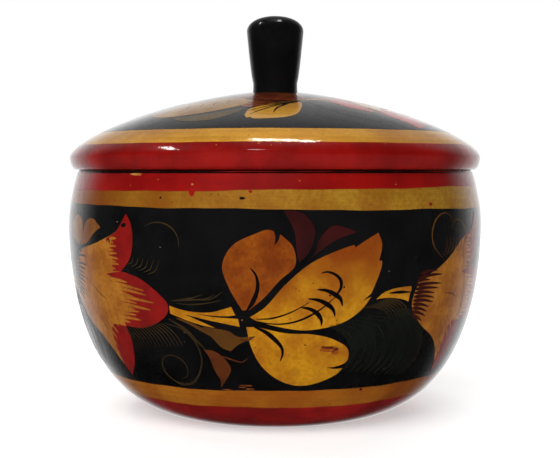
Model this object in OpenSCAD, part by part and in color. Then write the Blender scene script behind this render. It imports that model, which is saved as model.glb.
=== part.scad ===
// Khokhloma painted bowl with a lid: three pieces turned from linden wood.
// Origin at the middle of the foot, +Z up, millimetres. Every piece is round about Z.

/* [Bowl] */
// Diameter at the belly, the widest part of the bowl
belly_d = 130; // [110:1:150]
// Height of the belly above the table
belly_h = 59; // [52:1:64]
// Height of the bowl up to its flat rim
bowl_h = 76; // [72:1:84]
// Diameter of the flat foot
foot_d = 67; // [54:1:72]
// Outside diameter of the rim
rim_d = 124; // [106:1:142]
// Thickness of the side wall
wall = 5; // [4:0.5:7]
// Thickness of the floor in the middle
floor_t = 7; // [5:0.5:9]
// How full the lower curve is: 2 is an ellipse, more is squarer
fullness = 4; // [3:0.1:4.5]

/* [Lid] */
// How far the lid's edge stands out past the rim all round
overhang = 2.6; // [1:0.1:5]
// Height of the lid's widest line above the rim
edge_h = 4; // [2.5:0.1:5]
// Rise of the dome above the widest line
dome_rise = 21; // [17:0.2:26]
// Thickness of the dome at its top
dome_t = 5; // [4:0.5:6]
// Depth of the ring under the lid that drops into the mouth
ring_depth = 4; // [2.5:0.5:6]
// Thickness of that ring
ring_t = 4.5; // [3:0.5:6]
// Gap between that ring and the inside of the mouth
ring_gap = 0.6; // [0.4:0.1:1]

/* [Knob] */
// Largest diameter of the knob, near its top
knob_d = 18; // [15:0.5:24]
// Diameter of the knob's neck
neck_d = 14; // [12:0.5:15]
// Height of the knob above its seat on the lid
knob_h = 24.2; // [20:0.2:30]
// Height of the knob's rounded head, within that
head_h = 4.8; // [3:0.2:7]
// Diameter of the tenon glued through the lid
tenon_d = 8; // [6:0.5:10]

/* [Hidden] */
$fn = 96;

LACQUER_BLACK = [0.03, 0.03, 0.03];
LACQUER_RED = [0.48, 0.06, 0.04];
LACQUER_GOLD = [0.72, 0.45, 0.12];

belly_r = belly_d / 2;
foot_r = foot_d / 2;
rim_r = rim_d / 2;
mouth_r = rim_r - wall;
inner_r = belly_r - wall;
// Radius of the floor of the well, inside the bowl
well_r = foot_r - 6;
// Rounding of the turned edges, and the chamfer round the foot
edge_round = 0.8;
foot_chamfer = 0.6;
// How late the side draws in above the belly: more is later
tuck_power = 1.8;
// Height of the straight fit in the mouth below the lid's ring
mouth_fit = 2;

// Reach of a swelling curve that starts at radius r_low, h below its widest radius r
function reach(r_low, r, h) = h / sqrt(1 - pow(r_low / r, fullness));
// Radius of a swelling curve at depth d below its widest radius r
function swell(d, r, full_reach) = r * pow(1 - pow(d / full_reach, 2), 1 / fullness);
// How far the side has drawn in at height z above the belly
function tuck(z) = (belly_r - rim_r) * pow((z - belly_h) / (bowl_h - belly_h), tuck_power);

outer_reach = reach(foot_r, belly_r, belly_h);
inner_reach = reach(well_r, inner_r, belly_h - floor_t);

// Height of the lid's dome at radius r: a shallow cone with a rounded top and edge
lid_r = rim_r + overhang;
// The lid's flat seat reaches this far past the rim before its edge curves up
seat_overhang = 0.6;
lid_seat_r = rim_r + seat_overhang;
widest_h = bowl_h + edge_h;
// 1 is a straight cone: more rounds the top, and less rounds the edge
cone_top = 1.5;
cone_edge = 0.67;
function dome_h(r) = widest_h + dome_rise * pow(1 - pow(r / lid_r, cone_top), cone_edge);

// The foot of the knob is this much wider than its neck
knob_flare = 0.5;
knob_flare_h = 1.5;
// Width of the flat that stays clear round the knob on its seat
seat_land = 0.2;
knob_seat_r = neck_d / 2 + knob_flare;
knob_seat_h = dome_h(knob_seat_r);
ring_r = mouth_r - ring_gap;
ring_bore_r = ring_r - ring_t;
ceiling_rise = dome_h(0) - dome_t - bowl_h;
tenon_gap = 0.05;
hole_r = tenon_d / 2 + tenon_gap;
function ceiling_h(r) = bowl_h + ceiling_rise * sqrt(1 - pow(r / ring_bore_r, 2));

// Bowl: a deep round vessel, fullest above its middle and drawn in to the rim
module bowl() {
    lower_side = [for (t = [6:3:90])
        let (z = belly_h * (1 - cos(t))) [swell(belly_h - z, belly_r, outer_reach), z]];
    upper_side = [for (t = [1:9])
        let (z = belly_h + (bowl_h - edge_round - belly_h) * t / 9) [belly_r - tuck(z), z]];
    rim_top = [for (a = [0:22.5:90])
        [rim_r - edge_round + edge_round * cos(a), bowl_h - edge_round + edge_round * sin(a)]];
    mouth = [for (a = [90:22.5:180])
        [mouth_r + edge_round + edge_round * cos(a), bowl_h - edge_round + edge_round * sin(a)]];
    upper_inside = [for (t = [8:-1:1])
        let (z = belly_h + (bowl_h - ring_depth - mouth_fit - belly_h) * t / 8)
            [inner_r - tuck(z), z]];
    lower_inside = [for (t = [90:-4:6])
        let (z = floor_t + (belly_h - floor_t) * (1 - cos(t)))
            [swell(belly_h - z, inner_r, inner_reach), z]];
    color(LACQUER_BLACK)
        rotate_extrude()
            polygon(concat(
                [[0, 0], [foot_r - foot_chamfer, 0]],
                lower_side, upper_side, rim_top, mouth, upper_inside, lower_inside,
                [[well_r, floor_t], [0, floor_t]]));
}

// Lid: a low dome with a rounded edge, hollow below, and a ring that centres it in the mouth
module lid() {
    underside_edge = [for (t = [0:15:75])
        [lid_seat_r + (lid_r - lid_seat_r) * sin(t), bowl_h + edge_h * (1 - cos(t))]];
    dome = [for (t = [90:-3:12])
        let (r = lid_r * sin(t)) [r, dome_h(r)]];
    ceiling = [for (t = [10:5:90])
        let (r = ring_bore_r * sin(t)) [r, ceiling_h(r)]];
    color(LACQUER_RED)
        rotate_extrude()
            polygon(concat(
                underside_edge, dome,
                [[knob_seat_r, knob_seat_h], [hole_r, knob_seat_h], [hole_r, ceiling_h(hole_r)]],
                ceiling,
                [[ring_bore_r, bowl_h - ring_depth + edge_round],
                 [ring_bore_r + edge_round, bowl_h - ring_depth],
                 [ring_r - edge_round, bowl_h - ring_depth],
                 [ring_r, bowl_h - ring_depth + edge_round],
                 [ring_r, bowl_h]]));
}

// Knob: a peg that widens upwards to a rounded head, with a tenon glued through the lid
module knob() {
    neck_r = neck_d / 2;
    head_r = knob_d / 2;
    // The neck is straight to here, and then widens fastest low down
    neck_h = 3;
    widening = 0.75;
    // The head is an ellipse a little squarer than the true one
    head_power = 2.2;
    foot_r = knob_seat_r - seat_land;
    flare = [for (t = [0:15:90])
        [foot_r - (foot_r - neck_r) * sin(t), knob_flare_h * (1 - cos(t))]];
    side = [for (t = [0:10])
        [neck_r + (head_r - neck_r) * pow(t / 10, widening),
         neck_h + (knob_h - head_h - neck_h) * t / 10]];
    head = [for (t = [9:9:90])
        [head_r * cos(t), knob_h - head_h + head_h * sqrt(1 - pow(cos(t), head_power))]];
    tenon_l = knob_seat_h - ceiling_h(hole_r);
    color(LACQUER_GOLD)
        translate([0, 0, knob_seat_h])
            rotate_extrude()
                polygon(concat([[0, -tenon_l], [tenon_d / 2, -tenon_l], [tenon_d / 2, 0]],
                               flare, side, head));
}

bowl();
lid();
knob();
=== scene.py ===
"""Khokhloma painted bowl with a lid.

The turned pieces come from model.glb, and every coat of paint on them is a thin closed shell.
Lengths are millimetres and angles are degrees until a mesh is made, in metres.
Paint on the bowl is drawn as (angle, height): the angle is 0 at the front, -Y, and grows towards
+X. Paint on the lid is drawn in plan, as (x, y). An outline is a list of runs: each run is a
smooth curve from the last point of the run before it, and two runs meet at a corner.
"""

import math
import random

import bpy
import numpy as np
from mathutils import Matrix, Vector
from mathutils.geometry import delaunay_2d_cdt


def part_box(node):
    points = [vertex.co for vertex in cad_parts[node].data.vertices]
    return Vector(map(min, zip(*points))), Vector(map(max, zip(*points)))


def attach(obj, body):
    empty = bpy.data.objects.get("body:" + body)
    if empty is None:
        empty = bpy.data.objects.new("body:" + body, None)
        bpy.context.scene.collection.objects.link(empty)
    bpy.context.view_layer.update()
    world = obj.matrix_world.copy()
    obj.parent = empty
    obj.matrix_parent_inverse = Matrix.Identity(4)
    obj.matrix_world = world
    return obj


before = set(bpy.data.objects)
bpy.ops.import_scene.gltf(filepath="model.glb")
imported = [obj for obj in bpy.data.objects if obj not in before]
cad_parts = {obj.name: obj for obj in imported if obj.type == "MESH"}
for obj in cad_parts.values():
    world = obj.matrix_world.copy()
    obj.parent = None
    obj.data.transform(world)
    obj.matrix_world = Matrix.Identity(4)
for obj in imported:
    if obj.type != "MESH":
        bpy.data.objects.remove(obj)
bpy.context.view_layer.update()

MM = 0.001

# ------------------------------------------------------------------ sizes of the turned pieces

BELLY_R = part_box("bowl")[1].x / MM
BOWL_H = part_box("bowl")[1].z / MM
LID_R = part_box("lid")[1].x / MM

# The solids' other sizes, and the powers that shape their curves
BELLY_H = 59
FOOT_R = 33.5
RIM_R = 62
WALL = 5
FULLNESS = 4
TUCK_POWER = 1.8
EDGE_ROUND = 0.8
FOOT_CHAMFER = 0.6
SEAT_R = RIM_R + 0.6
WIDEST_H = BOWL_H + 4
DOME_RISE = 21
CONE_TOP = 1.5
CONE_EDGE = 0.67
KNOB_SEAT_R = 7.5
# How far the lid's black runs in over its flat seat, to just under the knob's foot
KNOB_SEAT_LAND = 0.25

# Thickness of one coat of paint, and how far a coat reaches into what it lies on
COAT = 0.025
BITE = 0.05
# Spacing of the points in a painted shape and along its edge, and the steps round a band
GRID = 1.3
EDGE_STEP = 0.45
SEGMENTS = 288


# ------------------------------------------------------------------ turned profiles


class Path:
    """A turned profile of (radius, height) points, outside to its right when it runs upwards."""

    def __init__(self, points):
        self.points = np.array(points, float)
        steps = np.hypot(*np.diff(self.points, axis=0).T)
        self.along = np.concatenate([[0], np.cumsum(steps)])
        run = np.gradient(self.points, self.along, axis=0)
        run /= np.hypot(run[:, 0], run[:, 1])[:, None]
        self.normals = np.stack([run[:, 1], -run[:, 0]], 1)

    def at(self, along):
        """Radius, height and the normal's two parts at distances along the path."""
        found = [np.interp(along, self.along, c) for c in (*self.points.T, *self.normals.T)]
        size = np.hypot(found[2], found[3])
        return found[0], found[1], found[2] / size, found[3] / size


def arc(centre, radius, start, end, steps=12):
    """Points on an arc in the profile's plane."""
    angles = np.radians(np.linspace(start, end, steps + 1))
    return [(centre[0] + radius * math.cos(a), centre[1] + radius * math.sin(a)) for a in angles]


def bowl_radius(z):
    """Outside radius of the bowl at a height."""
    if z > BELLY_H:
        share = (z - BELLY_H) / (BOWL_H - BELLY_H)
        return BELLY_R - (BELLY_R - RIM_R) * share**TUCK_POWER
    reach = BELLY_H / math.sqrt(1 - (FOOT_R / BELLY_R) ** FULLNESS)
    return BELLY_R * (1 - ((BELLY_H - z) / reach) ** 2) ** (1 / FULLNESS)


def dome_height(r):
    """Height of the lid's dome at a radius."""
    return WIDEST_H + DOME_RISE * (1 - (min(r, LID_R) / LID_R) ** CONE_TOP) ** CONE_EDGE


SIDE_LOW = 0.35
SIDE_TOP = BOWL_H - EDGE_ROUND
MOUTH_R = RIM_R - WALL
bowl_side = [(bowl_radius(z), z) for z in np.linspace(SIDE_LOW, SIDE_TOP, 700)]
bowl_path = Path(
    [(FOOT_R - 3, 0), (FOOT_R - FOOT_CHAMFER, 0)]
    + bowl_side
    + arc((RIM_R - EDGE_ROUND, SIDE_TOP), EDGE_ROUND, 5, 90)
    + arc((MOUTH_R + EDGE_ROUND, SIDE_TOP), EDGE_ROUND, 90, 180)
    + [(MOUTH_R, SIDE_TOP - 3)]
)

edge_turns = np.radians(np.linspace(0, 88, 45))
dome_turns = np.radians(np.linspace(90, math.degrees(math.asin(KNOB_SEAT_R / LID_R)), 240))
lid_path = Path(
    [(SEAT_R - 2, BOWL_H)]
    + [
        (SEAT_R + (LID_R - SEAT_R) * math.sin(t), BOWL_H + (WIDEST_H - BOWL_H) * (1 - math.cos(t)))
        for t in edge_turns
    ]
    + [(LID_R * math.sin(t), dome_height(LID_R * math.sin(t))) for t in dome_turns]
    + [(KNOB_SEAT_R - KNOB_SEAT_LAND, dome_height(KNOB_SEAT_R))]
)


def side_along(z):
    """Distance along the bowl's path at a height on its outside."""
    side = slice(1, 2 + len(bowl_side))
    return np.interp(z, bowl_path.points[side, 1], bowl_path.along[side])


def dome_along(r):
    """Distance along the lid's path at a radius on its dome."""
    dome = slice(len(edge_turns) + 1, None)
    return np.interp(-np.asarray(r), -lid_path.points[dome, 0], lid_path.along[dome])


def turned(path, angle, along):
    """Points and normals on a turned surface, as two arrays of rows."""
    r, z, out, up = path.at(along)
    x, y = np.sin(np.radians(angle)), -np.cos(np.radians(angle))
    return np.stack([r * x, r * y, z], -1), np.stack([out * x, out * y, up], -1)


def on_bowl(flat):
    """Where points drawn as (angle, height) lie on the bowl."""
    return turned(bowl_path, flat[:, 0], side_along(flat[:, 1]))


def on_lid(flat):
    """Where points drawn in plan lie on the lid's dome."""
    angle = np.degrees(np.arctan2(flat[:, 0], -flat[:, 1]))
    return turned(lid_path, angle, dome_along(np.hypot(flat[:, 0], flat[:, 1])))


# Millimetres on the surface for each unit of a drawing
UNITS = {on_bowl: np.array([math.pi * BELLY_R / 180, 1.0]), on_lid: np.array([1.0, 1.0])}


# ------------------------------------------------------------------ drawing and making coats


def smooth(points, step=EDGE_STEP):
    """Points about a step apart on a smooth curve through the given ones."""
    given = [np.array(p, float) for p in points]
    ends = [2 * given[0] - given[1], *given, 2 * given[-1] - given[-2]]
    curve = [given[0]]
    for before, start, end, after in zip(ends, ends[1:], ends[2:], ends[3:]):
        gap = max(math.dist(start, end), 1e-6)
        gap_in = max(math.dist(before, start), 1e-6) ** 0.5
        gap_out = max(math.dist(end, after), 1e-6) ** 0.5
        mid = gap**0.5
        leave = (end - start) + mid * ((start - before) / gap_in - (end - before) / (gap_in + mid))
        arrive = (end - start) + mid * ((after - end) / gap_out - (after - start) / (mid + gap_out))
        count = max(1, math.ceil(gap / step))
        for t in np.arange(1, count + 1) / count:
            curve.append(
                (2 * t**3 - 3 * t**2 + 1) * start
                + (t**3 - 2 * t**2 + t) * leave
                + (3 * t**2 - 2 * t**3) * end
                + (t**3 - t**2) * arrive
            )
    return curve


def traced(runs, step=EDGE_STEP):
    """The closed outline that a list of runs draws."""
    outline = smooth(runs[0], step) if len(runs[0]) > 1 else [np.array(runs[0][0], float)]
    for run in runs[1:]:
        outline += smooth([outline[-1], *run], step)[1:]
    if math.dist(outline[0], outline[-1]) < 1e-6:
        outline.pop()
    return np.array(outline)


def moved(shape, dx, turn=0):
    """A drawing's runs or strokes moved along the first axis, or turned in plan."""
    if isinstance(shape, tuple) and all(isinstance(c, (int, float)) for c in shape):
        c, s = math.cos(math.radians(turn)), math.sin(math.radians(turn))
        return (shape[0] * c - shape[1] * s + dx, shape[0] * s + shape[1] * c)
    return [moved(part, dx, turn) for part in shape]


def inside(points, outline):
    """Which points lie inside a closed outline."""
    x, y = points[:, 0], points[:, 1]
    found = np.zeros(len(points), bool)
    for (x1, y1), (x2, y2) in zip(outline, np.roll(outline, -1, axis=0)):
        if y1 != y2:
            crosses = (y1 > y) != (y2 > y)
            found ^= crosses & (x < (x2 - x1) * (y - y1) / (y2 - y1) + x1)
    return found


def edge_distance(points, outline):
    """Distance from each point to the nearest corner of an outline."""
    gaps = points[:, None, :] - outline[None, :, :]
    return np.sqrt((gaps**2).sum(-1)).min(1)


def filled(outline):
    """Triangles that fill a closed outline, and their corners."""
    low, high = outline.min(0), outline.max(0)
    grid = []
    for row, y in enumerate(np.arange(low[1], high[1], GRID * 0.87)):
        for x in np.arange(low[0] + (row % 2) * GRID / 2, high[0], GRID):
            grid.append((x, y))
    grid = np.array(grid or [low])
    grid = grid[inside(grid, outline)]
    if len(grid):
        grid = grid[edge_distance(grid, outline) > GRID * 0.45]
    corners = [Vector(p) for p in outline] + [Vector(p) for p in grid]
    made = delaunay_2d_cdt(corners, [], [list(range(len(outline)))], 1, 1e-6)
    return np.array([tuple(p) for p in made[0]]), [list(f) for f in made[2] if len(f) == 3]


class Shell:
    """A closed shell that grows as shapes are added to it."""

    def __init__(self):
        self.points = []
        self.normals = []
        self.faces = []

    def add(self, points, normals, faces):
        first = len(self.points)
        self.points += [tuple(p) for p in points]
        self.normals += [tuple(n) for n in normals]
        self.faces += [[first + i for i in face] for face in faces]

    def add_sheet(self, points, normals, faces, top, bottom):
        """Adds a sheet as a thin solid, with a wall round each open edge."""
        count = len(points)
        open_edges = {}
        for face in faces:
            for a, b in zip(face, face[1:] + face[:1]):
                if (b, a) in open_edges:
                    del open_edges[(b, a)]
                else:
                    open_edges[(a, b)] = True
        walls = [[b, a, a + count, b + count] for a, b in open_edges]
        under = [[i + count for i in reversed(face)] for face in faces]
        layers = [points + normals * top, points + normals * bottom]
        self.add(np.vstack(layers), np.vstack([normals, normals]), faces + walls + under)

    def build(self, name, body, material):
        """Makes the piece, with the turned surface's own normals, and rides it on its body."""
        mesh = bpy.data.meshes.new(name)
        mesh.from_pydata([[c * MM for c in p] for p in self.points], [], self.faces)
        mesh.validate()
        mesh.polygons.foreach_set("use_smooth", [True] * len(mesh.polygons))
        mesh.normals_split_custom_set_from_vertices(self.normals)
        mesh.materials.append(material)
        piece = bpy.data.objects.new(name, mesh)
        bpy.context.scene.collection.objects.link(piece)
        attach(piece, body)
        return piece


def heights(layer):
    """Top and bottom of a coat above the turned surface.

    Layer 1 is the gold on the wood, 2 the black and the red, and 3 to 5 what is painted on them.
    """
    return layer * COAT, (layer - 1) * COAT - BITE


def ring(shell, path, low, high, layer, rows):
    """Adds a coat all round between two distances along a path, each a function of the angle."""
    angle = np.arange(SEGMENTS) * 360 / SEGMENTS
    share = np.linspace(0, 1, rows + 1)[:, None]
    along = low(angle)[None, :] * (1 - share) + high(angle)[None, :] * share
    points, normals = turned(path, np.broadcast_to(angle, along.shape), along)
    faces = []
    for row in range(rows):
        for i in range(SEGMENTS):
            j = (i + 1) % SEGMENTS
            a, b = row * SEGMENTS, (row + 1) * SEGMENTS
            faces.append([a + i, a + j, b + j, b + i])
    shell.add_sheet(points.reshape(-1, 3), normals.reshape(-1, 3), faces, *heights(layer))


def patch(shell, surface, runs, layer):
    """Adds a painted shape to a shell."""
    unit = UNITS[surface]
    flat, faces = filled(traced(runs) * unit)
    points, normals = surface(flat / unit)
    shell.add_sheet(points, normals, faces, *heights(layer))


def stroke(shell, surface, width, points, layer, peak=0.5):
    """Adds a brush stroke that swells to its width at the share of its length given by peak."""
    unit = UNITS[surface]
    line = np.array(smooth(points)) * unit
    run = np.gradient(line, axis=0)
    run /= np.hypot(run[:, 0], run[:, 1])[:, None]
    side = np.stack([-run[:, 1], run[:, 0]], 1)
    length = np.concatenate([[0], np.cumsum(np.hypot(*np.diff(line, axis=0).T))])
    share = length / length[-1]
    swell = np.minimum(share / peak, (1 - share) / (1 - peak)).clip(0, 1) ** 0.6
    half = (width / 2 * (0.08 + 0.92 * swell))[:, None]
    count = len(line)
    points, normals = surface(np.vstack([line - side * half, line + side * half]) / unit)
    faces = [[i, i + 1, count + i + 1, count + i] for i in range(count - 1)]
    shell.add_sheet(points, normals, faces, *heights(layer))


def blot(centre, width, height, seed, corners=9):
    """A ragged spot, as a single run of straight pieces."""
    rng = random.Random(seed)
    runs = []
    for i in range(corners):
        turn = 2 * math.pi * i / corners
        reach = 0.5 * rng.uniform(0.65, 1.1)
        x = centre[0] + width * reach * math.cos(turn)
        y = centre[1] + height * reach * math.sin(turn)
        runs.append([(x, y)])
    return runs


# ------------------------------------------------------------------ materials


def srgb(red, green, blue):
    """A colour given as it looks on a screen, from 0 to 255."""
    parts = [c / 255 for c in (red, green, blue)]
    return tuple(c / 12.92 if c < 0.04 else ((c + 0.055) / 1.055) ** 2.4 for c in parts) + (1.0,)


def add(tree, kind, inputs=None, **settings):
    """Adds a shader node. An input is a number or colour, or another node's output."""
    made = tree.nodes.new("ShaderNode" + kind)
    for key, value in settings.items():
        setattr(made, key, value)
    for key, value in (inputs or {}).items():
        if isinstance(value, bpy.types.NodeSocket):
            tree.links.new(value, made.inputs[key])
        else:
            made.inputs[key].default_value = value
    return made


def mixed(tree, factor, first, second):
    """The colour that goes from the first to the second as the factor goes from 0 to 1."""
    return add(tree, "Mix", {0: factor, 6: first, 7: second}, data_type="RGBA").outputs[2]


def between(tree, value, low, high, to_low=0.0, to_high=1.0):
    """A value mapped smoothly from one range to another."""
    inputs = {0: value, 1: low, 2: high, 3: to_low, 4: to_high}
    return add(tree, "MapRange", inputs, interpolation_type="SMOOTHSTEP").outputs[0]


def coords(tree, scale=(1, 1, 1), offset=0.0):
    """Object coordinates in millimetres, stretched by a scale and shifted by an offset."""
    place = add(tree, "TexCoord").outputs["Object"]
    scale_mm = [c / MM for c in scale]
    shift = (offset, offset * 1.7, -offset)
    return add(tree, "Mapping", {"Vector": place, "Scale": scale_mm, "Location": shift}).outputs[0]


def clouds(tree, vector, size, detail=2.0, rough=0.5):
    """Noise from 0 to 1 in patches of about a size in millimetres."""
    inputs = {"Vector": vector, "Scale": 1 / size, "Detail": detail, "Roughness": rough}
    return add(tree, "TexNoise", inputs).outputs[0]


SPECK = srgb(60, 22, 12)
# How much darker than a paint's dark colour its mottling and streaks are
SHADE_SHARE = 0.62
# The fade's edge wanders by this much either way, in patches this wide
FADE_WANDER = 15
FADE_PATCH = 12


def faded(tree, colour, place, fade):
    """The colour, turning to another between two places along an axis."""
    axis, start, end, other = fade
    along = add(tree, "SeparateXYZ", {0: coords(tree)}).outputs[axis]
    inputs = {0: clouds(tree, place, FADE_PATCH, 2), 1: 2.0 * FADE_WANDER, 2: along}
    drift = add(tree, "Math", inputs, operation="MULTIPLY_ADD").outputs[0]
    ends = {0: drift, 1: start + FADE_WANDER, 2: end + FADE_WANDER}
    share = add(tree, "MapRange", ends).outputs[0]
    return mixed(tree, share, colour, other)


def mottled(tree, colour, place, shade, amount):
    """The colour, with small soft patches of a darker shade."""
    fine = between(tree, clouds(tree, place, 1.1, 4, 0.65), 0.35, 0.7)
    share = add(tree, "Math", {0: fine, 1: amount}, operation="MULTIPLY").outputs[0]
    return mixed(tree, share, colour, shade)


def streaked(tree, colour, seed, shade, amount):
    """The colour, with brush marks of a darker shade that run round the piece."""
    flat = coords(tree, (0.02, 0.02, 1.0), seed)
    share = between(tree, clouds(tree, flat, 0.7, 3, 0.7), 0.42, 0.66, 0, amount)
    return mixed(tree, share, colour, shade)


def specked(tree, colour, seed, amount):
    """The colour, with sharp dark specks: more of them for a larger amount."""
    spot = clouds(tree, coords(tree, offset=seed + 40), 0.75, 1)
    share = between(tree, spot, 0.79 - amount, 0.81 - amount)
    return mixed(tree, share, colour, SPECK)


def paint(name, light, dark, seed, patch_size=9.0, streaks=0.0, mottle=0.35, specks=0.0,
          fade=None, roughness=(0.3, 0.45), metallic=0.0, coat=1.0, relief=0.01, ripple=3.0):
    """Lacquered paint: cloudy between two colours, mottled, streaked round, and specked.

    fade is an axis, two places along it in mm, and the colour the paint turns to between them.
    relief is the height in mm of the waves in the lacquer, and ripple their width.
    """
    material = bpy.data.materials.new(name)
    material.use_nodes = True
    tree = material.node_tree
    tree.nodes.clear()
    place = coords(tree, offset=seed)
    shade = tuple(c * SHADE_SHARE for c in dark[:3]) + (1.0,)
    cloud = between(tree, clouds(tree, place, patch_size, 5, 0.6), 0.34, 0.66)
    colour = mixed(tree, cloud, dark, light)
    if fade:
        colour = faded(tree, colour, place, fade)
    colour = mottled(tree, colour, place, shade, mottle)
    if streaks:
        colour = streaked(tree, colour, seed, shade, streaks)
    if specks:
        colour = specked(tree, colour, seed, specks)
    grain = between(tree, clouds(tree, place, 2.5, 4), 0.3, 0.7, *roughness)
    waves = clouds(tree, coords(tree, offset=seed + 7), ripple, 3, 0.45)
    bump = add(tree, "Bump", {"Strength": 1.0, "Distance": relief * MM, "Height": waves}).outputs[0]
    inputs = {
        "Base Color": colour,
        "Roughness": grain,
        "Normal": bump,
        "Metallic": metallic,
        "Specular IOR Level": 0.1,
        "Coat Weight": coat,
        "Coat Roughness": 0.05,
        "Coat IOR": 1.5,
        "Coat Normal": bump,
    }
    shader = add(tree, "BsdfPrincipled", inputs)
    out = add(tree, "OutputMaterial")
    tree.links.new(shader.outputs[0], out.inputs["Surface"])
    return material


# Each has its light and its dark colour, its seed, and where it matters the size of its clouds in mm
black = paint("black_lacquer", srgb(15, 14, 15), srgb(8, 8, 8), 3, mottle=0.2, relief=0.004)
knob_black = paint("knob_lacquer", srgb(15, 14, 15), srgb(9, 9, 9), 5, mottle=0.2, coat=0.35, relief=0.01)
red_rim = paint("red_rim_lacquer", srgb(136, 14, 10), srgb(114, 10, 10), 11, 14, streaks=0.15, mottle=0.12,
                relief=0.006)
red_edge = paint("red_edge_lacquer", srgb(138, 15, 10), srgb(112, 10, 8), 13, 14, streaks=0.15, mottle=0.12,
                 relief=0.03, ripple=1.1)
red_foot = paint("red_foot_lacquer", srgb(146, 18, 16), srgb(108, 11, 11), 17, 16, streaks=0.2, mottle=0.15,
                 relief=0.006)
brass = paint("brass_band", srgb(168, 124, 36), srgb(146, 94, 24), 23, 12, streaks=0.25, mottle=0.5,
              fade=("X", -14, -50, srgb(126, 60, 9)), roughness=(0.32, 0.5), metallic=0.2, specks=0.02)
amber_band = paint("amber_band", srgb(176, 108, 22), srgb(154, 82, 14), 29, 14, streaks=0.25, mottle=0.3,
                   fade=("X", 15, 45, srgb(122, 56, 9)), roughness=(0.32, 0.5), metallic=0.2, specks=0.02)
# The lid's gold is painted brighter than the bowl's: a painted sheen of the overhead light on the lid's
# upturned face
lid_gold_painted_sheen = paint("lid_gold_band_painted_sheen", srgb(222, 162, 50), srgb(190, 124, 34), 30, 24, streaks=0.3, mottle=0.25,
                 roughness=(0.32, 0.5), metallic=0.2, specks=0.02, relief=0.03, ripple=1.1)
amber = paint("amber_leaf", srgb(142, 72, 8), srgb(112, 46, 5), 31, 7, mottle=0.4, specks=0.05,
              metallic=0.1)
honey = paint("honey_leaf", srgb(190, 132, 17), srgb(160, 96, 10), 37, 7, mottle=0.4, specks=0.05,
              metallic=0.1, fade=("Z", 38, 55, srgb(128, 54, 5)))
tan = paint("tan_petal", srgb(172, 110, 30), srgb(142, 80, 20), 39, 7, mottle=0.4, specks=0.04,
            metallic=0.1)
petal_red = paint("petal_red", srgb(126, 14, 9), srgb(106, 9, 8), 41, 6, mottle=0.15)
lid_red = paint("lid_petal_red", srgb(196, 44, 34), srgb(160, 28, 22), 42, 6, mottle=0.15)
maroon = paint("maroon_leaf", srgb(56, 15, 14), srgb(42, 11, 11), 43, mottle=0.15)
brown = paint("brown_leaf", srgb(84, 51, 13), srgb(66, 38, 11), 47, mottle=0.2)
side_brown = paint("side_leaf", srgb(128, 80, 26), srgb(104, 56, 16), 49, mottle=0.2)
rust = paint("rust_leaf", srgb(88, 42, 11), srgb(68, 28, 9), 53, mottle=0.2)
lid_tan = paint("lid_tan_leaf", srgb(182, 136, 62), srgb(152, 106, 44), 50, 9, mottle=0.3)
lid_olive = paint("lid_olive_leaf", srgb(94, 74, 26), srgb(72, 54, 18), 51, mottle=0.2)
lid_rust = paint("lid_rust_leaf", srgb(150, 76, 26), srgb(104, 34, 14), 54, mottle=0.3)
olive = paint("olive_line", srgb(53, 39, 19), srgb(38, 29, 14), 59, mottle=0.2)
green_line = paint("green_line", srgb(30, 31, 23), srgb(22, 24, 18), 58, mottle=0.2)
green = paint("green_shade", srgb(20, 22, 18), srgb(15, 17, 14), 60, mottle=0.3)
# Dark paint for the veins and the spots, also laid round the rim as a painted shadow under the lid
ink_and_shadow = paint("ink_and_painted_shadow", srgb(18, 10, 8), srgb(10, 6, 6), 61, mottle=0.1)
wine = paint("wine_line", srgb(56, 15, 9), srgb(34, 9, 7), 67, mottle=0.1)
plum = paint("plum_bruise", srgb(96, 34, 14), srgb(70, 22, 14), 69, 2, mottle=0.3)
bruise = paint("brown_bruise", srgb(160, 88, 14), srgb(132, 62, 12), 70, 2, mottle=0.4)
# Pale wood where the paint is chipped, also used for specks that are partly painted glints
bare_wood_and_glints = paint("bare_chip_and_glint", srgb(190, 130, 66), srgb(150, 84, 34), 71, 2, mottle=0.3, coat=0.2)
scratch = paint("orange_scratch", srgb(132, 70, 30), srgb(96, 44, 18), 74, 2, mottle=0.3)
pale = paint("pale_speck", srgb(120, 116, 104), srgb(80, 76, 66), 72, 2, mottle=0.1)
inside_gold = paint("inside_gold", srgb(176, 104, 22), srgb(146, 76, 14), 73, 20, streaks=0.35, mottle=0.25,
                    metallic=0.15)


# ------------------------------------------------------------------ bands round the bowl and lid

# Heights on the bowl where the rim's red, the black and the foot's red end
RED_LOW = 70.4
BLACK_TOP = 65.2
BLACK_LOW = 14.2
RED_TOP = 8.6
# Each gold band is painted first, and runs on under the black and the red
GOLD_UPPER = (64.2, 71.6)
GOLD_LOWER = (7, 15.6)
# A painted shadow: a dark line in the gap under the lid, where the rim starts to round over
GAP_SHADOW_LOW = 74.9
GAP_SHADOW_WIDTH = 1.1
# Radii between which the gold shows on the lid, and how far it runs on under the other colours
LID_GOLD_IN = 55.3
LID_GOLD_OUT = 61.7
LID_GOLD_LAP = 1


def wave(height, drift, ripple=0.12):
    """A hand-turned edge near a height: it drifts round the bowl, and ripples a little."""

    def along(angle):
        a = np.radians(angle)
        shake = np.sin(7 * a + height) + 0.6 * np.sin(13 * a + 2 * height) + 0.4 * np.sin(29 * a)
        return side_along(height + drift * np.sin(a) + ripple * shake)

    return along


def at_radius(r, ripple=0.08):
    """A hand-turned edge near a radius on the lid's dome."""

    def along(angle):
        a = np.radians(angle)
        return dome_along(r + ripple * (np.sin(5 * a + r) + 0.6 * np.sin(11 * a) + 0.4 * np.sin(23 * a)))

    return along


def level(value):
    """The same distance along a path all the way round."""
    return lambda angle: np.full(len(angle), float(value))


def at_height(z):
    """The same height all the way round the bowl."""
    return level(side_along(z))


def band(name, body, material, low, high, layer, rows):
    """One coat all the way round, as a piece of its own."""
    shell = Shell()
    path = bowl_path if body == "bowl" else lid_path
    ring(shell, path, low, high, layer, rows)
    return shell.build(name, body, material)


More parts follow.
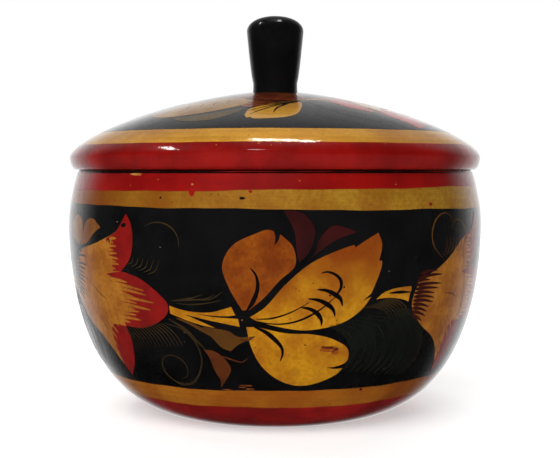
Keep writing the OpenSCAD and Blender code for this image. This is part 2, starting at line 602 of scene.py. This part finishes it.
def bowl_bands():
    """The bowl's coats from the foot's edge to just inside the mouth, with a dark ring under the lid as
    painted shadow.
    """
    gap_shadow_low = side_along(GAP_SHADOW_LOW)
    mouth = bowl_path.along[-1] - 1
    band("bowl_band_upper", "bowl", brass, at_height(GOLD_UPPER[0]), at_height(GOLD_UPPER[1]), 1, 8)
    band("bowl_band_lower", "bowl", amber_band, at_height(GOLD_LOWER[0]), at_height(GOLD_LOWER[1]), 1, 12)
    band("bowl_black", "bowl", black, wave(BLACK_LOW, 0.3), wave(BLACK_TOP, -0.7), 2, 40)
    band("bowl_foot_red", "bowl", red_foot, level(0.4), wave(RED_TOP, 0.2), 2, 16)
    band("bowl_rim_red", "bowl", red_rim, wave(RED_LOW, 0.7), level(mouth), 2, 26)
    # Painted shadow: a dark ring where the rim rounds over in the shade of the lid
    band("bowl_gap_painted_shadow", "bowl", ink_and_shadow, level(gap_shadow_low), level(gap_shadow_low + GAP_SHADOW_WIDTH), 3, 6)


def lid_bands():
    """The lid's coats from its seat on the rim up to the knob."""
    gold_low = at_radius(LID_GOLD_OUT + LID_GOLD_LAP)
    gold_high = at_radius(LID_GOLD_IN - LID_GOLD_LAP)
    knob_foot = lid_path.along[-1] - 0.02
    # The lid's gold band, lighter for a painted sheen
    band("lid_band", "lid", lid_gold_painted_sheen, gold_low, gold_high, 1, 12)
    band("lid_red", "lid", red_edge, level(1.5), at_radius(LID_GOLD_OUT), 2, 34)
    band("lid_black", "lid", black, at_radius(LID_GOLD_IN), level(knob_foot), 2, 44)


# ------------------------------------------------------------------ the trefoil and its stems

LEAF_UPPER = [
    [(-8.2, 37.8), (-11.3, 44), (-12.8, 50), (-10.2, 55.5), (-4.5, 58.8), (-1.8, 59.8), (-0.3, 59.4)],
    [(0, 57.5), (-0.2, 55.6)],
    [(0.8, 57), (1.2, 58.6)],
    [(4.2, 55.2), (4.7, 50), (1.2, 46.2), (-3, 41), (-6.4, 37.9)],
]
LEAF_LONG = [
    [(-6.3, 35.9), (-2.5, 38.7), (2.5, 45), (9, 51), (17, 54.8), (19.3, 55.5)],
    [(19.6, 54.8)],
    [(22.5, 56.8), (25.7, 58.7)],
    [(26.8, 55.5), (26.1, 51)],
    [(26.9, 51)],
    [(26.9, 49.5), (25.2, 44), (24.4, 42)],
    [(22.2, 40)],
    [(24.4, 41)],
    [(22.5, 38), (17.5, 34.2), (8, 32.2), (1, 33.2), (-4.7, 34.9)],
]
LEAF_LOWER = [
    [
        (-7.3, 33.1), (-6.3, 27.5), (-3.8, 22), (0.8, 17.8),
        (6.5, 15.9), (12.5, 16.7), (17.8, 19.3), (18.9, 20.8),
    ],
    [(16.5, 20.7), (14, 21.2)],
    [(16.8, 21.4), (19.8, 22.8), (19.6, 26.3), (15.2, 29.4), (9.5, 31), (3, 31.4), (-4.8, 33.2)],
]
# Width, point of greatest width, and the line of each black vein
VEINS = [
    (1.35, 0.3, [(-7.3, 37.2), (-5.2, 40.8), (-4.2, 44.5), (-4.7, 47.6), (-6, 49.5)]),
    (0.5, 0.3, [(-5, 35.4), (-1, 35.6), (3, 36.9), (6.5, 38.8), (8.8, 40.3)]),
    (0.6, 0.6, [(-5, 34.9), (-1, 34.1), (3, 34.2), (7, 35.4), (11.5, 38.2), (15, 41.5)]),
    (1.0, 0.4, [(14.7, 41.1), (16.2, 44), (16, 46), (14.5, 47.6), (12.5, 48.3), (11, 47.9)]),
    (1.4, 0.6, [(6.3, 38.6), (8.5, 38.2), (10.5, 36.8), (11.6, 35), (11.7, 33.3)]),
    (1.4, 0.6, [(8, 41), (10.5, 40.6), (13, 39.3), (14.5, 37.8), (15.1, 35.9)]),
    (1.4, 0.6, [(10.1, 43.5), (12.5, 43.2), (14.8, 42), (16.2, 40.8), (16.9, 38.7)]),
    (1.4, 0.4, [(-5.5, 33.3), (-2.5, 31.8), (0.2, 29.3), (1.7, 27.2), (1.9, 25.3), (1.3, 23.3)]),
]
STEM_LEFT = [
    [
        [(-27.6, 38.4), (-24, 37.4), (-20, 36.9), (-16, 37.1), (-10.9, 38.7)],
        [(-10, 36.4)],
        [(-12, 36.1), (-17, 36.2), (-20.5, 36.5)],
        [(-16, 35.8), (-9.3, 35.4)],
        [(-9, 33.2)],
        [(-13, 34), (-18, 35), (-23.4, 36.2)],
        [(-19.5, 34.5), (-15.4, 32.7)],
        [(-18.5, 33.2), (-23, 34.5), (-27.6, 36.2)],
    ],
]
STEM_RIGHT = [
    [
        [(26, 40.3), (28, 42), (31, 43), (34, 43.3), (36.5, 43.4)],
        [(36.7, 42.5), (36.3, 41), (36.1, 39)],
        [(34.5, 39.7), (31, 40.4), (28.5, 40.5), (26, 40.3)],
    ],
]
STEM_RIGHT_SPLIT = (0.9, 0.5, [(29.5, 41.8), (33, 41.9), (36.6, 41.7)])
MAROON_LEAVES = [
    [
        [(2, 64.9), (4.5, 59.5), (5.2, 53), (5.8, 50.9)],
        [(8.2, 54), (9.4, 60), (6.8, 64), (4, 65), (2, 64.9)],
    ],
    [
        [(7.5, 51.2), (9.5, 53.3), (10.5, 57), (14, 60.8), (20, 59)],
        [(14.5, 56.8), (7.5, 51.2)],
    ],
]
BROWN_LEAF = [
    [(-19, 33), (-15.5, 32.5), (-12, 31.9), (-9.5, 30.3), (-5, 30.6)],
    [(-9.8, 27.9), (-11.8, 26.1)],
    [(-14, 27), (-16, 29.2), (-19, 33)],
]
RUST_LEAF = [
    [(-19.3, 26.4), (-18, 24), (-17, 20), (-15.9, 17.5), (-16.2, 15)],
    [(-14.5, 17), (-12.3, 20.8), (-13.5, 23.5), (-16, 25.8), (-19.3, 26.4)],
]
RUST_CURL = (0.45, 0.4, [(-15, 24.8), (-12, 23.8), (-9, 23), (-7.3, 24.2)])
BROWN_TAIL = (0.5, 0.3, [(-9.3, 29.5), (-7, 29.4), (-5, 30.6)])
BROWN_STEM = (1.3, 0.85, [(-26, 35), (-22.5, 33.8), (-19, 32), (-16, 30.6), (-13.5, 30)])


def painted(name, material, shapes, layer, dx=0, turn=0, body="bowl"):
    """One piece of several painted shapes in one colour."""
    shell = Shell()
    surface = on_bowl if body == "bowl" else on_lid
    for runs in shapes:
        patch(shell, surface, moved(runs, dx, turn), layer)
    return shell.build(name, body, material)


def brushed(name, material, strokes, layer, dx=0, turn=0, body="bowl"):
    """One piece of several brush strokes in one colour."""
    shell = Shell()
    surface = on_bowl if body == "bowl" else on_lid
    for width, peak, points in strokes:
        stroke(shell, surface, width, moved(points, dx, turn), layer, peak)
    return shell.build(name, body, material)


def trefoil(tag, dx):
    """Three golden leaves on a stem, with the small leaves round them."""
    painted("leaf_upper" + tag, amber, [LEAF_UPPER], 3, dx)
    painted("leaf_long" + tag, honey, [LEAF_LONG], 3, dx)
    painted("leaf_lower" + tag, honey, [LEAF_LOWER], 3, dx)
    painted("stems" + tag, honey, STEM_LEFT + STEM_RIGHT, 3, dx)
    brushed("veins" + tag, ink_and_shadow, VEINS + [STEM_RIGHT_SPLIT], 4, dx)
    painted("maroon_leaves" + tag, maroon, MAROON_LEAVES, 3, dx)
    painted("brown_leaf" + tag, brown, [BROWN_LEAF], 3, dx)
    painted("rust_leaf" + tag, rust, [RUST_LEAF], 3, dx)
    brushed("tails" + tag, rust, [RUST_CURL, BROWN_TAIL], 4, dx)
    brushed("brown_stem" + tag, brown, [BROWN_STEM], 4, dx)


# ------------------------------------------------------------------ the flower

# The flower is drawn about its own middle, and sits this many degrees round from the trefoil
FLOWER_AT = 53
PETAL_TOP = [(4, 55.8), (10.5, 58.8), (13.8, 63.6)]
PETAL_TOP_RIGHT = [(15.7, 60.5), (16.2, 56), (15, 51), (11.5, 47.2)]
PETAL_RIGHT = [(14, 46.8), (18, 45.5), (22.3, 42.7), (25.6, 39.6)]
PETAL_RIGHT_LOW = [(26.1, 37.9), (25.4, 36), (22.6, 33.6), (17, 31.4), (10.2, 31.4)]
PETAL_LOW = [(11.1, 26.5), (9, 20.5), (4.5, 15.8)]
# The flower's upper left edge, which is painted lower on some flowers than on others
SHOULDER_LOW = [(-13.7, 45.3), (-7.5, 47.6), (-2, 51)]
SHOULDER_HIGH = [(-13.7, 49.5), (-7, 52.8), (-2, 54)]
FLOWER_REST = [
    PETAL_TOP_RIGHT,
    PETAL_RIGHT,
    PETAL_RIGHT_LOW,
    PETAL_LOW,
    [(2, 20.5), (-3.5, 27), (-11.5, 32.5), (-15.5, 38)],
]
PETAL_REDS = [
    [[(6, 56.2), (10.5, 58.8), (13.8, 63.6)], PETAL_TOP_RIGHT, [(8.5, 47.2)], [(7.2, 51), (6, 56.2)]],
    [[(5, 46.2), (11.5, 47.2)], PETAL_RIGHT, PETAL_RIGHT_LOW, [(9.4, 35), (9.6, 41), (8, 45), (5, 46.2)]],
    [[(10.2, 31.4), *PETAL_LOW], [(3.4, 17.8), (2.5, 24), (4, 31), (10.2, 31.4)]],
]
# Where each fine gold stroke into the red starts and ends
FINGERS = [
    ((7.5, 56.2), (10.4, 56.5)),
    ((6.4, 55.1), (9.2, 55.3)),
    ((5.6, 54), (10.3, 54.3)),
    ((5, 52.9), (9.2, 53.2)),
    ((5.2, 51.9), (10.5, 52.3)),
    ((5.4, 50.9), (10.8, 50.8)),
    ((5.6, 50), (9.8, 49.9)),
    ((5.8, 49.1), (11, 49.2)),
    ((5.8, 48.2), (9.5, 47.8)),
    ((7, 44.8), (13.5, 44.2)),
    ((7.5, 43.7), (19, 42.2)),
    ((7.8, 42.6), (19.5, 41)),
    ((8, 41.5), (15, 40.3)),
    ((8.2, 40.3), (21.7, 38.9)),
    ((8.4, 39.2), (16, 38.4)),
    ((8.5, 38.1), (20.5, 36.8)),
    ((8.5, 37), (15, 36.6)),
    ((8.5, 36), (16.5, 36)),
    ((8.5, 35), (15.2, 35)),
    ((8.3, 34), (16.7, 33.6)),
    ((8, 33), (12.5, 32.6)),
    ((-2, 33), (3.6, 24.5)),
    ((-1, 34), (4.6, 27)),
    ((0.5, 34.4), (5.8, 29)),
    ((2.4, 34.6), (7, 31)),
    ((0, 28), (3.2, 22)),
]
# Length of each dark stroke at the stem, from the top down, and the gap between two of them
HATCH_LENGTHS = [5.5, 8.5, 4, 9.5, 8.5, 7, 7, 7, 5.5, 5, 4.7, 3.5]
HATCH_GAP = 1.06
# How much higher the fan of dark strokes sits on a flower with a high shoulder
HATCH_LIFT = 4.5


def fingers():
    """The fine gold strokes that run into each petal's red, widest where they start."""
    strokes = []
    for start, end in FINGERS:
        middle = ((start[0] + end[0]) / 2, (start[1] + end[1]) / 2 + 0.15)
        strokes.append((1.15, 0.12, [start, middle, end]))
    return strokes


def hatch(lift):
    """The fan of dark strokes where the flower meets its stem, and one long line beyond it."""
    strokes = []
    for i, length in enumerate(HATCH_LENGTHS):
        start = (-15.3 + 0.5 * max(0, 3 - i), 46.6 + lift - HATCH_GAP * i)
        end = (start[0] + length + 1, start[1] + 0.8 - 0.25 * i)
        middle = ((start[0] + end[0]) / 2, (start[1] + end[1]) / 2 + 0.35)
        strokes.append((1.1, 0.2, [start, middle, end]))
    strokes.append((0.35, 0.5, [(-3, 40.5 + lift / 2), (1, 40), (4, 38.7)]))
    return strokes


SIDE_LEAVES = [
    [[(-9, 53.5), (-6.8, 57), (-6.5, 60), (-8, 62), (-12, 62.5), (-16, 60)], [(-15, 56)], [(-9, 53.5)]],
    [
        [(-8.3, 53.8), (-6.5, 57.5), (-4, 61), (-0.5, 61.8), (3.5, 59.4)],
        [(0, 57.5), (-3.5, 54.8), (-8.3, 53.8)],
    ],
]
HEART_LEFT = [
    (-5, 50.5), (-7, 52), (-9.5, 55), (-10, 58.5), (-8.5, 61.8),
    (-5.5, 63.5), (-2.5, 63), (-1, 61), (-1.3, 59),
]
HEART_RIGHT = [(-1.2, 59), (-0.5, 61), (2, 61.5), (4.8, 60), (6, 57.5), (5.5, 54.5), (3.5, 52)]


def curls():
    """A heart of two thin curls with fine lines inside it."""
    strokes = [(0.6, 0.5, HEART_LEFT), (0.6, 0.5, HEART_RIGHT)]
    for i in range(6):
        x = -4 + 1.5 * i
        strokes.append((0.35, 0.5, [(x - 1.5, 50.8 + 0.3 * i), (x, 53.5), (x + 0.3, 57)]))
    return strokes


def flower(tag, dx, leafy):
    """One flower: with leaves above it and a high shoulder, or with a heart of curls and a low one."""
    shoulder = SHOULDER_HIGH if leafy else SHOULDER_LOW
    outline = [shoulder + PETAL_TOP] + FLOWER_REST[:-1] + [FLOWER_REST[-1] + shoulder[:1]]
    painted("flower" + tag, tan, [outline], 3, dx)
    painted("petal_reds" + tag, petal_red, PETAL_REDS, 4, dx)
    brushed("petal_fingers" + tag, tan, fingers(), 5, dx)
    brushed("flower_hatch" + tag, wine, hatch(HATCH_LIFT if leafy else 0), 4, dx)
    if leafy:
        painted("side_leaves" + tag, side_brown, SIDE_LEAVES, 3, dx)
    else:
        brushed("heart" + tag, brown, curls(), 3, dx)


# ------------------------------------------------------------------ fine lines between the motifs

SPIRAL = [
    (-30, 33.3), (-25, 32), (-21.5, 28.5), (-20.3, 23.5), (-22, 19),
    (-25, 16), (-28.5, 15.2), (-31.5, 16.3), (-33.7, 19), (-33, 22.5),
    (-30, 24), (-27, 23.2), (-25.5, 21), (-26, 18.2), (-28.5, 16.8),
]
UPPER_CURL = [(-34, 60.2), (-31.5, 61.3), (-28.5, 61.3), (-25.8, 60), (-24.2, 57.5), (-23.8, 54.5)]
GREAT_ARC = [(40, 31), (43.5, 28), (44.5, 25), (43.5, 20.5), (40, 17)]
RUST_STEM = [(-28.5, 34.8), (-24, 32), (-20.8, 28.6), (-18.4, 26)]
# Width, point of greatest width, and the line of each long curl
LONG_CURLS = [(0.7, 0.5, SPIRAL), (0.45, 0.5, UPPER_CURL), (0.5, 0.5, GREAT_ARC), (1.0, 0.5, RUST_STEM)]
# The strokes above the left stem
ABOVE_STEM = [
    (0.7, 0.3, [(-27, 39.8), (-24, 40.2), (-21, 40.4), (-17.5, 40.5)]),
    (0.4, 0.4, [(-25, 40.2), (-21, 40.9), (-18, 42)]),
    (0.45, 0.4, [(-25.5, 39.2), (-22, 39), (-18, 39.4), (-13, 40.6)]),
    (0.4, 0.4, [(-21, 40.3), (-17, 40.9), (-15, 42)]),
    (0.35, 0.4, [(-18.5, 40.2), (-15.5, 41), (-13, 42.8)]),
]


def sheaf(count, first, last, width):
    """A count of strokes spread evenly from a first one to a last one."""
    strokes = []
    for i in range(count):
        t = i / (count - 1)
        points = []
        for a, b in zip(first, last):
            points.append((a[0] + (b[0] - a[0]) * t, a[1] + (b[1] - a[1]) * t))
        strokes.append((width, 0.45, points))
    return strokes


def grass():
    """A combed fan of fine strokes that sweeps down to the right below the petal."""
    first = [(-45.5, 31), (-44, 30), (-42, 27.6), (-41, 24.8)]
    last = [(-31.5, 33.3), (-29.5, 32.5), (-27, 30.3), (-25.2, 27)]
    return sheaf(14, first, last, 0.4)


def fern():
    """Short arcs beside the top petal, above the left stem and below the right one."""
    left_first = [(-40, 49.3), (-38.4, 50), (-37.6, 51.8)]
    left_last = [(-33.5, 46.8), (-31, 48), (-29.5, 51)]
    right_first = [(22.6, 38), (26, 38), (29, 36.8), (31, 34.6)]
    right_last = [(28, 40.2), (32, 39.8), (35, 38), (37, 35)]
    return sheaf(6, left_first, left_last, 0.33) + ABOVE_STEM + sheaf(7, right_first, right_last, 0.55)


SHADE_INNER = [(14, 33.2), (19, 31), (21.5, 27), (21, 23), (19, 20)]
SHADE_OUTER = [(28, 37), (38, 35), (42.8, 28), (41.8, 21), (37.5, 17)]


def shade(count, width):
    """Dark green strokes below the right stem, side by side in an arc."""
    return sheaf(count, SHADE_INNER, SHADE_OUTER, width)


JOIN_STEM = [
    [(-49, 38.6), (-43, 37.8), (-35, 37.7), (-27.2, 38.4)],
    [(-27.2, 36.2), (-34, 36), (-41, 36.6), (-49, 38.2)],
    [(-49, 38.6)],
]
JOIN_LEAVES = [
    [[(-39, 38.6), (-43.5, 43), (-45, 49.5), (-42.5, 56)], [(-37.8, 51.5), (-36.2, 44.5), (-39, 38.6)]],
    [[(-36, 38.8), (-33, 42.5), (-27.5, 45.2), (-21.5, 45.6)], [(-26, 41.6), (-30.5, 39.4), (-36, 38.8)]],
]
JOIN_VEINS = [
    (0.5, 0.4, [(-39.3, 40), (-41, 45), (-41.8, 51)]),
    (0.45, 0.4, [(-34, 39.6), (-29.5, 42.2), (-24.5, 44)]),
]


def joining(tag, dx):
    """A longer stem with two leaves, where the repeats of the painting stand further apart."""
    painted("joining_stem" + tag, honey, [JOIN_STEM], 3, dx)
    painted("joining_leaves" + tag, rust, JOIN_LEAVES, 3, dx)
    brushed("joining_veins" + tag, ink_and_shadow, JOIN_VEINS, 4, dx)


def fine_lines(tag, dx):
    """The curls, the combed strokes and the green shade round one trefoil."""
    brushed("green_shade" + tag, green, shade(10, 3.4), 3, dx)
    brushed("green_lines" + tag, green_line, shade(8, 0.3), 4, dx)
    brushed("fine_lines" + tag, olive, LONG_CURLS + grass() + fern(), 4, dx)


# ------------------------------------------------------------------ wear

# Centre, width and height of each mark that shows in front on the bowl
RED_SPOTS = [((-20.8, 69.9), 2.2, 2.6), ((43, 66.2), 1, 1.3), ((-6, 70), 1.2, 1)]
DARK_SPOTS = [
    ((-8, 68.2), 1.6, 0.7),
    ((-29.5, 68.2), 0.6, 0.6),
    ((27, 13.7), 1, 0.8),
    ((-41, 60.3), 1.9, 1.5),
    ((-46.6, 55.6), 1, 1.2),
    ((17, 44), 0.5, 0.5),
    ((13.5, 41.8), 0.6, 0.6),
    ((-60, 44), 0.5, 0.7),
]
BARE_SPOTS = [((-38.6, 74.6), 4.4, 0.9), ((-20.9, 71.9), 0.8, 0.6), ((-8.3, 35.1), 0.35, 0.4)]
SCRATCHES = [
    ((-8.5, 15.9), 4.2, 0.55),
    ((-7.4, 14.9), 3.2, 0.45),
    ((-14.5, 14.4), 3.2, 0.4),
    ((-9.8, 15.3), 2.4, 0.35),
]
BRUISES = [((14.5, 26.6), 5.4, 2.2), ((16, 26), 2.6, 2.4)]
PLUM_SPOTS = [
    ((14.2, 27.1), 3.4, 0.8),
    ((16.2, 26.5), 1.6, 0.9),
    ((12.6, 27.3), 1.2, 0.6),
    ((15.4, 25.8), 0.9, 0.5),
]


def spots(name, material, places, layer, seed):
    """One piece of ragged spots at given places on the bowl."""
    shapes = [blot(centre, wide, high, seed + i) for i, (centre, wide, high) in enumerate(places)]
    painted(name, material, shapes, layer)


def scattered(name, body, material, count, layer, seed, low, high, largest):
    """One piece of small chips at random between two heights on the bowl, or two radii on the lid."""
    rng = random.Random(seed)
    shapes = []
    for i in range(count):
        size = rng.uniform(0.12, largest)
        turn = rng.uniform(-180, 180)
        reach = rng.uniform(low, high)
        centre = (turn, reach)
        if body == "lid":
            centre = (reach * math.sin(math.radians(turn)), -reach * math.cos(math.radians(turn)))
        shapes.append(blot(centre, size * rng.uniform(0.8, 1.6), size, seed + i, 6))
    painted(name, material, shapes, layer, body=body)


def wear():
    """The marks of use: those in front as they are on the real bowl, and small ones all over; the pale
    specks on the lid's edge are partly painted glints of light.
    """
    spots("red_drips", red_edge, RED_SPOTS, layer=3, seed=1)
    spots("dark_spots", ink_and_shadow, DARK_SPOTS, layer=5, seed=20)
    spots("bare_chips", bare_wood_and_glints, BARE_SPOTS, layer=4, seed=40)
    spots("scratches", scratch, SCRATCHES, layer=4, seed=50)
    spots("bruises", bruise, BRUISES, layer=4, seed=56)
    spots("plum_spots", plum, PLUM_SPOTS, layer=5, seed=60)
    scattered("bowl_dust", "bowl", pale, 90, layer=3, seed=5, low=18, high=63, largest=0.38)
    scattered("rim_chips", "bowl", bare_wood_and_glints, 26, layer=3, seed=6, low=71, high=75, largest=0.45)
    scattered("band_chips", "bowl", rust, 40, layer=2, seed=7, low=65.5, high=70, largest=0.5)
    # Pale specks round the lid's red edge: partly chips, partly painted glints of light
    scattered("lid_chips_and_glints", "lid", bare_wood_and_glints, 40, layer=3, seed=8, low=61.8, high=63.9, largest=0.5)


# How far round the bowl each repeat of the painting sits: the one at 0 shows in the photo
UNIT_AT = [-107, 0, 126.5]


def bowl_painting():
    """Trefoils and flowers by turns, all the way round the bowl."""
    for number, dx in enumerate(UNIT_AT):
        tag = "_%d" % (number + 1)
        in_front = dx == 0
        trefoil(tag, dx)
        flower(tag, dx + FLOWER_AT, leafy=not in_front)
        if not in_front:
            joining(tag, dx)
        fine_lines(tag, dx)


# ------------------------------------------------------------------ the lid's painting

LID_LEAF = [
    [(5.5, -29), (-3.5, -36), (-7.5, -40), (-8.7, -45)],
    [(-8.2, -47.5)],
    [(-7, -47.2)],
    [(-6.5, -48.3), (-2, -48.7), (3, -47.5), (6, -44.8), (7.4, -39.5), (7.6, -32), (5.5, -29)],
]
LID_LEAF_VEIN = (1.1, 0.3, [(5.5, -30), (3, -35), (0.5, -39.5), (-0.5, -44)])
LID_LONG = [
    [(-6, -30), (-12, -36), (-22, -38), (-32, -34), (-38, -24)],
    [(-30, -20), (-20, -19), (-11, -23), (-6, -30)],
]
LID_DARK = [
    [(-8, -38), (-12, -43), (-18, -46), (-26, -43), (-30, -38)],
    [(-20, -40), (-8, -38)],
]
LID_RUST = [
    [(9.5, -24), (7, -17), (1, -12.5), (-6, -13.5), (-13.5, -21.5)],
    [(-11.5, -30), (-8.5, -37), (-3.5, -37), (5.5, -30), (9.5, -24)],
]
LID_TAN = [[(10, -24), (13, -27), (18, -26), (23, -19.5)], [(17, -16), (12, -17.5), (10, -24)]]
LID_PETALS = [
    [[(14.5, -19.5), (17.5, -27), (22, -30.5), (29.5, -31)], [(27, -24), (23, -18.5), (14.5, -19.5)]],
    [
        [(28, -23.5), (33, -29.5), (37, -31.5), (42, -34)],
        [(44, -30), (43, -24.5)],
        [(47.5, -22), (43, -14), (36, -12.5), (28, -23.5)],
    ],
    [[(17, -15), (22, -17), (27, -14), (31, -6)], [(23, -4.5), (18, -8), (17, -15)]],
]
LID_CENTRE = [
    [(22, -18), (28, -25), (33, -26)],
    [(32, -22.5), (36.5, -21.5)],
    [(32, -18.5), (34.5, -14.5)],
    [(28, -15), (22, -18)],
]
LID_STEM = (1.5, 0.4, [(5, -30), (9, -27.5), (13, -23.5), (18, -19.5), (22.5, -18)])
LID_SPIRAL = [
    (-28, -12), (-36, -9), (-42, -1), (-42, 8),
    (-36, 12.5), (-31, 9.5), (-31.5, 4.5), (-35, 3.5),
]
LID_CURLS = [
    (0.7, 0.5, LID_SPIRAL),
    (0.6, 0.5, [(36, -8), (43, -6), (46.5, 1), (44, 8), (38.5, 8.5), (36.5, 4), (39.5, 1.5)]),
    (0.7, 0.5, [(9, -27), (13, -35), (21, -40), (29, -40.5), (34, -37)]),
    (0.5, 0.5, [(12, -34), (11.5, -41), (15.5, -46), (20.5, -45), (20.5, -41.5)]),
]


def lid_veins():
    """Fine dark strokes on the lid's golden leaf and on its long one."""
    leaf_first = [(7.5, -29), (2, -29.5), (-4, -28), (-9, -24)]
    leaf_last = [(6.5, -32), (1, -36), (-3, -40), (-7.5, -45)]
    tick_first = [(-13, -27), (-14.2, -29), (-14, -31)]
    tick_last = [(-25, -25), (-26.2, -27), (-26, -29)]
    return [LID_LEAF_VEIN] + sheaf(7, leaf_first, leaf_last, 0.7) + sheaf(4, tick_first, tick_last, 0.35)


def lid_rust_veins():
    """Dark red strokes across the lid's round rust leaf."""
    first = [(8, -25), (3, -22), (-3, -22), (-8, -25)]
    last = [(6, -17), (1, -14), (-3, -15), (-7, -18)]
    return sheaf(4, first, last, 0.6)


def lid_painting():
    """A sprig with a red flower, painted twice, half a turn apart."""
    for number, turn in enumerate((0, 180)):
        tag = "_lid_%d" % (number + 1)
        painted("leaf" + tag, lid_gold_painted_sheen, [LID_LEAF], 3, 0, turn, "lid")
        painted("leaf_long" + tag, lid_tan, [LID_LONG], 3, 0, turn, "lid")
        painted("leaf_dark" + tag, lid_olive, [LID_DARK], 3, 0, turn, "lid")
        painted("rust_leaf" + tag, lid_rust, [LID_RUST], 2.5, 0, turn, "lid")
        painted("tan_leaf" + tag, brown, [LID_TAN], 2.5, 0, turn, "lid")
        painted("petals" + tag, lid_red, LID_PETALS, 3, 0, turn, "lid")
        painted("flower_centre" + tag, lid_gold_painted_sheen, [LID_CENTRE], 4, 0, turn, "lid")
        brushed("stem" + tag, lid_gold_painted_sheen, [LID_STEM], 3, 0, turn, "lid")
        brushed("curls" + tag, olive, LID_CURLS, 3, 0, turn, "lid")
        brushed("veins" + tag, ink_and_shadow, lid_veins(), 4, 0, turn, "lid")
        brushed("rust_veins" + tag, wine, lid_rust_veins(), 3.5, 0, turn, "lid")


# ------------------------------------------------------------------ the wood and the knob


def turned_wood():
    """The CAD pieces show inside and underneath, and the knob shows whole."""
    for name in ("bowl", "lid"):
        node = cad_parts[name]
        node.data.materials.clear()
        node.data.materials.append(inside_gold)
    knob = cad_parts["knob"]
    knob.data.materials.clear()
    knob.data.materials.append(knob_black)


# ------------------------------------------------------------------ camera, light and floor


CAMERA_AT = (0, -0.4, 0.0752)
CAMERA_LENS = 80.4
CAMERA_TILT = -2.6
CAMERA_PAN = -0.22


def camera():
    data = bpy.data.cameras.new("camera")
    data.sensor_width = 36
    data.lens = CAMERA_LENS
    made = bpy.data.objects.new("camera", data)
    bpy.context.scene.collection.objects.link(made)
    made.location = CAMERA_AT
    made.rotation_euler = (math.radians(90 + CAMERA_TILT), 0, math.radians(CAMERA_PAN))
    bpy.context.scene.camera = made


def studio_world():
    """A white room: the camera sees it plain, and it lights the bowl mostly from behind."""
    world = bpy.data.worlds.new("studio")
    bpy.context.scene.world = world
    world.use_nodes = True
    tree = world.node_tree
    tree.nodes.clear()
    way = add(tree, "SeparateXYZ", {0: add(tree, "TexCoord").outputs["Generated"]})
    behind = between(tree, way.outputs["Y"], 0.35, 0.95, 0.02, 0.95)
    high = between(tree, way.outputs["Z"], 0.15, 0.5, 1, 0.37)
    low = between(tree, way.outputs["Z"], -0.6, -0.2, 0.02, 1)
    walls = add(tree, "Math", {0: high, 1: low}, operation="MULTIPLY").outputs[0]
    power = add(tree, "Math", {0: behind, 1: walls}, operation="MULTIPLY").outputs[0]
    lit = add(tree, "Background", {"Color": (1, 1, 1, 1), "Strength": power})
    plain = add(tree, "Background", {"Color": (1, 1, 1, 1), "Strength": 1.0})
    seen = add(tree, "LightPath").outputs["Is Camera Ray"]
    shown = add(tree, "MixShader", {0: seen, 1: lit.outputs[0], 2: plain.outputs[0]})
    out = add(tree, "OutputWorld")
    tree.links.new(shown.outputs[0], out.inputs["Surface"])


LIGHT_TARGET = (0, 0, 0.07)


def softbox(name, way, distance, width, height, power, glossy=True):
    """An area light in a direction from the middle of the object, aimed at it."""
    data = bpy.data.lights.new(name, "AREA")
    data.shape = "RECTANGLE"
    data.size = width
    data.size_y = height
    data.energy = power
    made = bpy.data.objects.new(name, data)
    bpy.context.scene.collection.objects.link(made)
    target = Vector(LIGHT_TARGET)
    made.location = target + Vector(way).normalized() * distance
    made.rotation_euler = (made.location - target).to_track_quat("Z", "Y").to_euler()
    made.visible_glossy = glossy


def floor_paint():
    """Pale paint that brightens away from the middle, so that no horizon shows on the white room."""
    material = bpy.data.materials.new("pale_floor")
    material.use_nodes = True
    tree = material.node_tree
    tree.nodes.clear()
    place = add(tree, "TexCoord").outputs["Object"]
    away = add(tree, "VectorMath", {0: place}, operation="LENGTH").outputs["Value"]
    inputs = {
        "Base Color": (0.9, 0.9, 0.9, 1),
        "Roughness": 0.9,
        "Emission Color": (1, 1, 1, 1),
        "Emission Strength": between(tree, away, 0.15, 1.2, 0.45, 1),
    }
    near = add(tree, "BsdfPrincipled", inputs)
    plain = add(tree, "Emission", {"Color": (1, 1, 1, 1), "Strength": 1.0})
    share = between(tree, away, 0.4, 1.5)
    shown = add(tree, "MixShader", {0: share, 1: near.outputs[0], 2: plain.outputs[0]})
    out = add(tree, "OutputMaterial")
    tree.links.new(shown.outputs[0], out.inputs["Surface"])
    return material


def floor():
    bpy.ops.mesh.primitive_plane_add(size=60, location=(0, 0, 0))
    made = bpy.context.object
    made.name = "floor"
    made.data.materials.append(floor_paint())
    made.visible_glossy = False


def studio():
    studio_world()
    floor()
    softbox("overhead", (0.041, 0.268, 0.963), 1.0, width=0.28, height=0.08, power=1.0)
    softbox("window", (-0.533, 0.112, 0.839), 1.0, width=0.24, height=0.05, power=0.7)
    softbox("lamp", (-0.114, -0.293, 0.946), 1.0, width=0.1, height=0.03, power=0.14)
    softbox("front_fill", (-0.3, -1, 0.7), 1.2, width=1.2, height=1.0, power=16, glossy=False)
    softbox("back_fill", (0.3, 1, 0.7), 1.2, width=1.2, height=1.0, power=8, glossy=False)
    bpy.context.scene.view_settings.view_transform = "Standard"


camera()
studio()
turned_wood()
bowl_bands()
lid_bands()
bowl_painting()
lid_painting()
wear()

bpy.context.view_layer.update()
